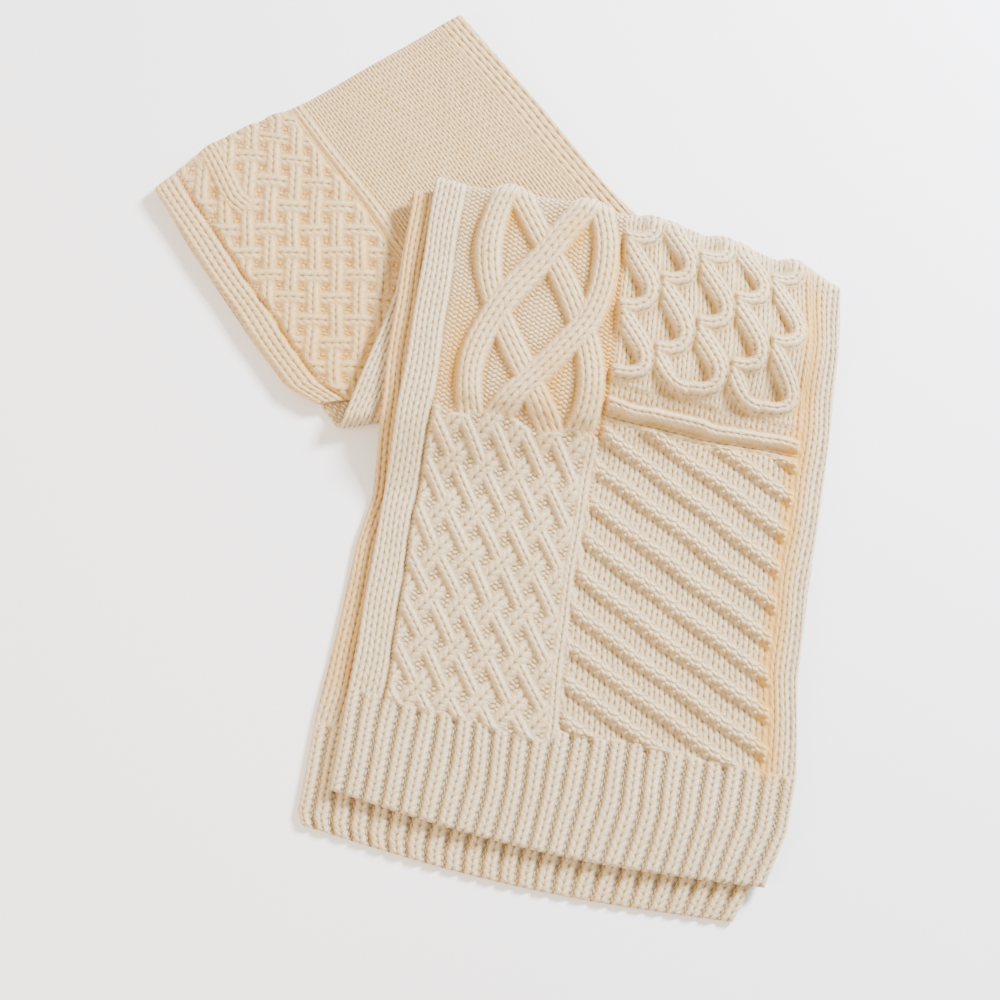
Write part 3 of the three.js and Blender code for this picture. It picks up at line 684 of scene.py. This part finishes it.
# A flat tube of cloth: knitted on top, plain beneath, rounded at its free edges and shut at both ends
def layCloth(name, stretch, rows, across, beneath, hemStart=False, hemEnd=False, mirrored=False, fine=None):
    rows = np.array(rows, dtype=float)
    width = cloth["width"]
    u, v = np.meshgrid(across, rows)
    place, normal = underside(stretch, v, u / width)
    height, wale, row, purl = stretch["knit"](*wander(u, v))
    shown = np.ones_like(u) if fine is None else fine(u, v)
    height = blurred(blurred(height, 1), 1)
    pulled = smoothStep((v - stretch["fold"]["at"] + cloth["pullFrom"]) / cloth["pullLength"])
    height = height + cloth["pull"] * pulled * (blurred(height, 9) - height)
    height = height + cloth["unevenness"] * np.sin(u / 17 + v / 23) * np.sin(v / 14 - u / 31)
    relief = height + shown * cloth["stitchDepth"] * (stitches(wale, row, purl) - cloth["stitchMiddle"])
    relief = relief * np.clip(1 + np.minimum(0, 1.3 * normal[2]), 0, 1)  # pressed flat beneath a fold

    def rounded(distance):
        return np.sqrt(np.clip(1 - (1 - np.clip(distance / cloth["rim"], 0, 1)) ** 2, 0, 1))

    def roundOver(uu, vv):
        rim = np.minimum(rounded(uu), rounded(width - uu))
        if hemStart:
            rim = np.minimum(rim, 0.1 + 0.9 * rounded(vv - rows[0]))
        if hemEnd:
            rim = np.minimum(rim, 0.1 + 0.9 * rounded(rows[-1] - vv))
        return rim

    rim = roundOver(u, v)
    up = cloth["wall"] * (0.5 + 0.5 * rim) + relief * rim
    top = np.stack([place[i] + normal[i] * up for i in range(3)], axis=-1)
    bu, bv = np.meshgrid(beneath[::-1], rows)
    bedPlace, bedNormal = underside(stretch, bv, bu / width)
    bedUp = cloth["wall"] * 0.5 * (1 - roundOver(bu, bv))
    bed = np.stack([bedPlace[i] + bedNormal[i] * bedUp for i in range(3)], axis=-1)
    points = np.concatenate([top, bed], axis=1)
    points += [table["shiftX"], table["shiftY"], 0]
    points *= table["millimetre"]

    # What lies lower than the knitting round it counts as hollow, near by and further off; the material paints shade
    # there
    hollow = 0.6 * np.clip((blurred(relief, 4) - relief) / 1.1, 0, 1)
    hollow += 0.5 * np.clip((blurred(relief, 11) - relief) / 2.6, 0, 1)
    colour = np.zeros(points.shape[:2] + (4,))
    colour[:, :u.shape[1], 0] = purl
    colour[:, :u.shape[1], 1] = np.clip(hollow, 0, 1)
    colour[:, :u.shape[1], 2] = np.maximum(jumps(wale), jumps(row))
    # Alpha holds how much painted warm shade a place gets; the underside gets an even amount
    colour[:, :u.shape[1], 3] = stretch["warm"](u, v)
    colour[:, u.shape[1]:, 0] = 1
    colour[:, u.shape[1]:, 3] = warmth["beneath"]
    bedMap = np.stack([bu / purlSide["wale"], bv / purlSide["row"]], -1)
    stitchMap = np.concatenate([np.stack([wale, row], -1), bedMap], axis=1)

    piece = addGrid(name, points.shape[1], points.shape[0])
    mesh = piece.data
    mesh.vertices.foreach_set("co", points.reshape(-1))
    corner = np.empty(len(mesh.loops), dtype=np.int32)
    mesh.loops.foreach_get("vertex_index", corner)
    mesh.uv_layers[0].name = "stitches"
    mesh.uv_layers[0].uv.foreach_set("vector", stitchMap.reshape(-1, 2)[corner].reshape(-1))
    knitColour = mesh.color_attributes.new("knit", "FLOAT_COLOR", "POINT")
    knitColour.data.foreach_set("color", colour.reshape(-1))
    mesh.shade_smooth()
    if mirrored:
        mesh.flip_normals()
    closeTube(mesh, points.shape[1], points.shape[0])
    print(name, len(mesh.polygons), "faces,", "top %.1f mm" % (points[..., 2].max() * 1000))
    return piece


# The two long edges are welded, and the open ends are filled flat
def closeTube(mesh, across, along):
    work = bmesh.new()
    work.from_mesh(mesh)
    work.verts.ensure_lookup_table()
    seam = [work.verts[r * across] for r in range(along)]
    seam += [work.verts[(r + 1) * across - 1] for r in range(along)]
    bmesh.ops.remove_doubles(work, verts=seam, dist=1e-6)
    openEdges = [e for e in work.edges if e.is_boundary]
    for cap in bmesh.ops.holes_fill(work, edges=openEdges, sides=0)["faces"]:
        cap.smooth = False
        for e in cap.edges:
            e.smooth = False
    work.to_mesh(mesh)
    work.free()


# Wool

def linear(hexColour):
    parts = [int(hexColour[i:i + 2], 16) / 255 for i in (1, 3, 5)]
    return [p / 12.92 if p <= 0.04045 else ((p + 0.055) / 1.055) ** 2.4 for p in parts] + [1]


def addNode(tree, kind, settings=None, **links):
    node = tree.nodes.new(kind)
    for key, value in (settings or {}).items():
        if key in node.inputs:
            node.inputs[key].default_value = value
        else:
            setattr(node, key, value)
    for key, value in links.items():
        socket = node.inputs[int(key[1:])] if key[0] == "i" and key[1:].isdigit() else node.inputs[key]
        if isinstance(value, bpy.types.NodeSocket):
            tree.links.new(value, socket)
        else:
            socket.default_value = value
    return node


wool = {
    "cream": "#DABF8C", "crestHighlight": "#E4D4B3", "creviceShade": "#927A52", "holeShade": "#4A3C2B", "fleck": "#B0935F",
    "paintedWarmShade": "#CF9B41",
    "roughness": 0.92, "sheen": 0.35, "sheenRoughness": 0.45, "specular": 0.2,
    "yarnBump": 0.9, "bumpHeight": 0.0011, "fibreBump": 0.8,
    "fibreScale": 900.0,  # tufts of about 1.1 mm
    "patchScale": 60.0,   # an unevenness of about 17 mm
}


# Lambswool and acrylic, spun soft and knitted: matt and hairy, with a painted highlight on the crests of its yarn
# and painted warm shade in its hollows, for light that reaches those has passed through wool
def knittedWool(name, values):
    material = bpy.data.materials.new(name)
    material.use_nodes = True
    tree = material.node_tree
    tree.nodes.clear()

    def calc(operation, a, b=0.0, c=0.0):
        return addNode(tree, "ShaderNodeMath", {"operation": operation}, i0=a, i1=b, i2=c).outputs[0]

    stitchUv = addNode(tree, "ShaderNodeUVMap", {"uv_map": "stitches"}).outputs["UV"]
    split = addNode(tree, "ShaderNodeSeparateXYZ", i0=stitchUv)
    wale, row = split.outputs[0], split.outputs[1]
    knitData = addNode(tree, "ShaderNodeVertexColor", {"layer_name": "knit"}).outputs
    parts = addNode(tree, "ShaderNodeSeparateColor", i0=knitData["Color"])
    purl, hollow, jump, warmLight = parts.outputs[0], parts.outputs[1], parts.outputs[2], knitData["Alpha"]

    # The two legs of a knit stitch
    side = calc("ABSOLUTE", calc("SUBTRACT", calc("FRACT", wale), 0.5))
    legOff = calc("MULTIPLY", calc("SUBTRACT", side, knitting["legAt"]), 1 / knitting["legHalf"])
    leg = calc("SQRT", calc("MAXIMUM", calc("SUBTRACT", 1.0, calc("MULTIPLY", legOff, legOff)), 0.0))
    step = calc("FRACT", calc("SUBTRACT", row, calc("MULTIPLY", side, 2 * knitting["legRise"])))
    stepOff = calc("ABSOLUTE", calc("SUBTRACT", calc("MULTIPLY", step, 2.0), 1.0))
    plump = calc("SQRT", calc("SUBTRACT", 1.0, calc("POWER", stepOff, knitting["plump"])))
    parted = calc("SUBTRACT", 1.0, plump)
    outward = calc("SUBTRACT", 1.0, leg)
    pinchShare = calc("MULTIPLY_ADD", outward, knitting["pinchOut"], knitting["pinchIn"])
    pinch = calc("MULTIPLY", calc("MULTIPLY", parted, knitting["legRound"]), pinchShare)
    knit = calc("MULTIPLY", leg, calc("SUBTRACT", 1.0, pinch))
    edge = calc("MULTIPLY", legOff, legOff)
    # Where the stitches part: a dip in the bump, and painted dark shade in the colour
    between = calc("MULTIPLY", calc("POWER", stepOff, 2.2), calc("POWER", edge, 1.3))
    holeShade = calc("MULTIPLY", calc("MULTIPLY", between, calc("SUBTRACT", 1.0, purl)), calc("SUBTRACT", 1.0, jump))

    # The bumps of a purl stitch
    nearest = []
    for shift, lean in knitting["bumps"]:
        dx = calc("SUBTRACT", calc("FRACT", calc("ADD", wale, shift + 0.5)), 0.5)
        slanted = calc("ADD", row, calc("MULTIPLY_ADD", dx, lean * knitting["bumpLean"], shift + 0.5))
        dy = calc("SUBTRACT", calc("FRACT", slanted), 0.5)
        wide = calc("POWER", calc("ABSOLUTE", calc("DIVIDE", dx, knitting["bumpWide"])), 2.0)
        tall = calc("POWER", calc("ABSOLUTE", calc("DIVIDE", dy, knitting["bumpTall"])), 2.0)
        nearest.append(calc("ADD", wide, tall))
    bump = calc("SQRT", calc("MAXIMUM", calc("SUBTRACT", 1.0, calc("MINIMUM", nearest[0], nearest[1])), 0.0))

    loops = addNode(tree, "ShaderNodeMix", {"data_type": "FLOAT"}, i0=purl, i2=knit, i3=bump).outputs[0]
    holed = calc("SUBTRACT", loops, calc("MULTIPLY", holeShade, 0.5))
    yarn = addNode(tree, "ShaderNodeMix", {"data_type": "FLOAT"}, i0=jump, i2=holed, i3=0.7).outputs[0]

    # Tufts of fibre, and a slower unevenness of the spinning
    place = addNode(tree, "ShaderNodeTexCoord").outputs["Object"]
    fibre = addNode(tree, "ShaderNodeTexNoise",
                    {"Scale": values["fibreScale"], "Detail": 3.0, "Roughness": 0.6}, Vector=place).outputs[0]
    patchy = addNode(tree, "ShaderNodeTexNoise",
                     {"Scale": values["patchScale"], "Detail": 2.0}, Vector=place).outputs[0]
    heightNow = calc("MULTIPLY_ADD", fibre, values["fibreBump"], yarn)
    bumpNode = addNode(tree, "ShaderNodeBump",
                       {"Strength": values["yarnBump"], "Distance": values["bumpHeight"]}, Height=heightNow)

    # Colour: cream, with painted highlights on the crests and painted warm shade in the hollows and between the yarns
    # Painted shade: the grooves between the yarns and the hollows are mixed towards a darker tan
    groove = calc("POWER", calc("MAXIMUM", calc("SUBTRACT", 1.0, yarn), 0.0), 1.4)
    deep = calc("MINIMUM", calc("ADD", calc("MULTIPLY", hollow, 0.75), calc("MULTIPLY", groove, 0.4)), 1.0)
    # Painted highlight: the crests of the yarn are mixed towards a paler cream
    highlighted = addNode(tree, "ShaderNodeMix", {"data_type": "RGBA"}, Factor=calc("MULTIPLY", yarn, 0.9),
                   i6=linear(values["cream"]), i7=linear(values["crestHighlight"])).outputs[2]
    tufts = addNode(tree, "ShaderNodeMapRange", {"From Min": 0.35, "From Max": 0.68}, Value=fibre).outputs[0]
    flecked = addNode(tree, "ShaderNodeMix", {"data_type": "RGBA"},
                      Factor=calc("MULTIPLY", tufts, calc("MULTIPLY_ADD", patchy, 0.9, 0.2)),
                      i6=highlighted, i7=linear(values["fleck"])).outputs[2]
    creviceShaded = addNode(tree, "ShaderNodeMix", {"data_type": "RGBA"}, Factor=deep,
                     i6=flecked, i7=linear(values["creviceShade"])).outputs[2]
    # Painted warm shade: the warmth each place was given, stronger in its hollows
    paintedWarmShade = calc("MINIMUM", calc("MULTIPLY", warmLight, calc("MULTIPLY_ADD", hollow, 0.45, 0.3)), 0.9)
    warmShaded = addNode(tree, "ShaderNodeMix", {"data_type": "RGBA"}, Factor=paintedWarmShade,
                      i6=creviceShaded, i7=linear(values["paintedWarmShade"])).outputs[2]
    # Painted dark shade where the stitches part
    colour = addNode(tree, "ShaderNodeMix", {"data_type": "RGBA"}, Factor=calc("MULTIPLY", holeShade, 0.85),
                     i6=warmShaded, i7=linear(values["holeShade"])).outputs[2]

    shader = addNode(tree, "ShaderNodeBsdfPrincipled", {
        "Roughness": values["roughness"], "Sheen Weight": values["sheen"],
        "Sheen Roughness": values["sheenRoughness"], "Specular IOR Level": values["specular"],
    })
    tree.links.new(colour, shader.inputs["Base Color"])
    tree.links.new(bumpNode.outputs[0], shader.inputs["Normal"])
    output = addNode(tree, "ShaderNodeOutputMaterial")
    tree.links.new(shader.outputs[0], output.inputs["Surface"])
    return material


creamWool = knittedWool("creamWoolKnit", wool)

# The pieces. Where a run of places is given, its last number is the step between its points.
beneathCoarse = acrossCloth((12, 278, 14))
fineAcross = acrossCloth((2.4, 287.6, 0.8))


def finish(piece, node):
    piece.data.materials.clear()
    piece.data.materials.append(creamWool)
    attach(piece, "root")
    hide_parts(node)


# Where along the cloth the pieces part, how far each tail runs past its fold, and each one's step
cut = {
    "ribEnd": 66, "patchesEnd": 277, "frontTail": 9, "tail": 3, "turnedTail": 9.5,
    "rib": 0.9, "front": 0.86, "under": 1.1, "turned": 1.0, "back": 0.9, "hidden": 1.6,
}


# Stitches are raised only where they show, near the cloth's two long edges
def nearEdges(leftEnd, start=-1):
    return lambda u, v: ((u < leftEnd) | (u > border["rightStart"])) * (v > start) * 1.0


def hemmedRows(length):
    rim = cloth["rim"]
    return rimSteps + spread(rim, length - rim, cut["hidden"]) + [length - s for s in reversed(rimSteps)]


ribRows = rimSteps + spread(cloth["rim"], cut["ribEnd"], cut["rib"])

print("front run")
patchRows = spread(cut["ribEnd"], cut["patchesEnd"], cut["front"])
cableRows = spread(cut["patchesEnd"], foldEnd(frontFold, cut["frontTail"]), cut["front"])
frontRib = layCloth("frontRib", front, ribRows, fineAcross, beneathCoarse, hemStart=True)
frontPatches = layCloth("frontPatches", front, patchRows, fineAcross, beneathCoarse)
frontCables = layCloth("frontCables", front, cableRows, fineAcross, beneathCoarse)

print("under run")
underAcross = acrossCloth((2.4, 42, 0.85), (45, 268, 4.5), (270, 287.6, 1.2))
underRows = spread(cut["ribEnd"], foldEnd(underFold, cut["tail"]), cut["under"])
underRib = layCloth("underRib", under, ribRows, fineAcross, beneathCoarse, hemStart=True)
underBody = layCloth("underBody", under, underRows, underAcross, beneathCoarse, fine=nearEdges(42))

print("turned run")
turnedAcross = acrossCloth((2.4, 75, 0.9), (78, 268, 4), (270, 287.6, 1.2))
turnedRows = spread(0, 56, 4) + spread(57, foldEnd(turnedFold, cut["turnedTail"]), cut["turned"])
turnedRun = layCloth("turnedRun", turned, turnedRows, turnedAcross, beneathCoarse, mirrored=True,
                     fine=nearEdges(75, start=56))

print("back run")
backAcross = acrossCloth((2.4, 287.6, 0.95))
backRows = spread(0, foldEnd(backFold, cut["tail"]), cut["back"])
backRun = layCloth("backRun", back, backRows, backAcross, beneathCoarse)

print("hidden layers")
hiddenAcross = acrossCloth((2.4, 20, 1.2), (24, 266, 8), (270, 287.6, 1.2))
floorRun = layCloth("floorRun", floorLayer, hemmedRows(floorSections["along"][-1]), hiddenAcross, beneathCoarse,
                    hemStart=True, hemEnd=True, fine=nearEdges(20))
middleRun = layCloth("middleRun", middleLayer, hemmedRows(middleSections["along"][-1]), hiddenAcross, beneathCoarse,
                     hemStart=True, hemEnd=True, fine=nearEdges(20))

finish(frontRib, "front_stretch")
finish(frontPatches, "front_stretch")
finish(frontCables, "front_stretch")
finish(underRib, "under_stretch")
finish(underBody, "under_stretch")
finish(turnedRun, "turned_stretch")
finish(backRun, "back_stretch")
finish(floorRun, "hidden_layers")
finish(middleRun, "hidden_layers")

# The studio

studio = {
    "floor": "#FFFFFF", "floorSize": 8, "floorRoughness": 0.9, "world": "#FFFCF8", "worldStrength": 1.15,
    "focal": 50.0, "sensor": 36, "distance": 0.952, "elevation": 76.0,
}
windowLight = {"place": (1.35, 1.0, 1.0), "size": 0.5, "power": 200.0, "colour": "#EEF2FF"}
warmFill = {"place": (-1.2, -0.5, 0.9), "size": 1.0, "power": 30.0, "colour": "#FFD9A8"}

print("studio")
bpy.ops.object.select_all(action="DESELECT")
bpy.ops.mesh.primitive_plane_add(size=studio["floorSize"], location=(0, 0, 0))
floorPlane = bpy.context.active_object
floorPlane.name = "floorSurface"
paper = bpy.data.materials.new("paleStudioPaper")
paper.use_nodes = True
paperShader = paper.node_tree.nodes["Principled BSDF"]
paperShader.inputs["Base Color"].default_value = linear(studio["floor"])
paperShader.inputs["Roughness"].default_value = studio["floorRoughness"]
floorPlane.data.materials.append(paper)

world = bpy.data.worlds.new("softRoom")
world.use_nodes = True
world.node_tree.nodes["Background"].inputs[0].default_value = linear(studio["world"])
world.node_tree.nodes["Background"].inputs[1].default_value = studio["worldStrength"]
bpy.context.scene.world = world


# A round soft lamp that looks at the middle of the table
def addLamp(name, values):
    lamp = bpy.data.lights.new(name, "AREA")
    lamp.shape = "DISK"
    lamp.size = values["size"]
    lamp.energy = values["power"]
    lamp.color = linear(values["colour"])[:3]
    holder = bpy.data.objects.new(name, lamp)
    bpy.context.scene.collection.objects.link(holder)
    x, y, z = values["place"]
    holder.location = (x, y, z)
    holder.rotation_euler = (math.atan2(math.hypot(x, y), z), 0, math.atan2(-y, -x) - math.pi / 2)


addLamp("windowLight", windowLight)
addLamp("warmFill", warmFill)

camera = bpy.data.cameras.new("photoCamera")
camera.lens = studio["focal"]
camera.sensor_width = studio["sensor"]
cameraHolder = bpy.data.objects.new("photoCamera", camera)
bpy.context.scene.collection.objects.link(cameraHolder)
tilt = math.radians(studio["elevation"])
aimX = table["shiftX"] * table["millimetre"]
aimY = table["shiftY"] * table["millimetre"]
cameraHolder.location = (aimX, aimY - studio["distance"] * math.cos(tilt), studio["distance"] * math.sin(tilt))
cameraHolder.rotation_euler = (math.pi / 2 - tilt, 0, 0)
bpy.context.scene.camera = cameraHolder
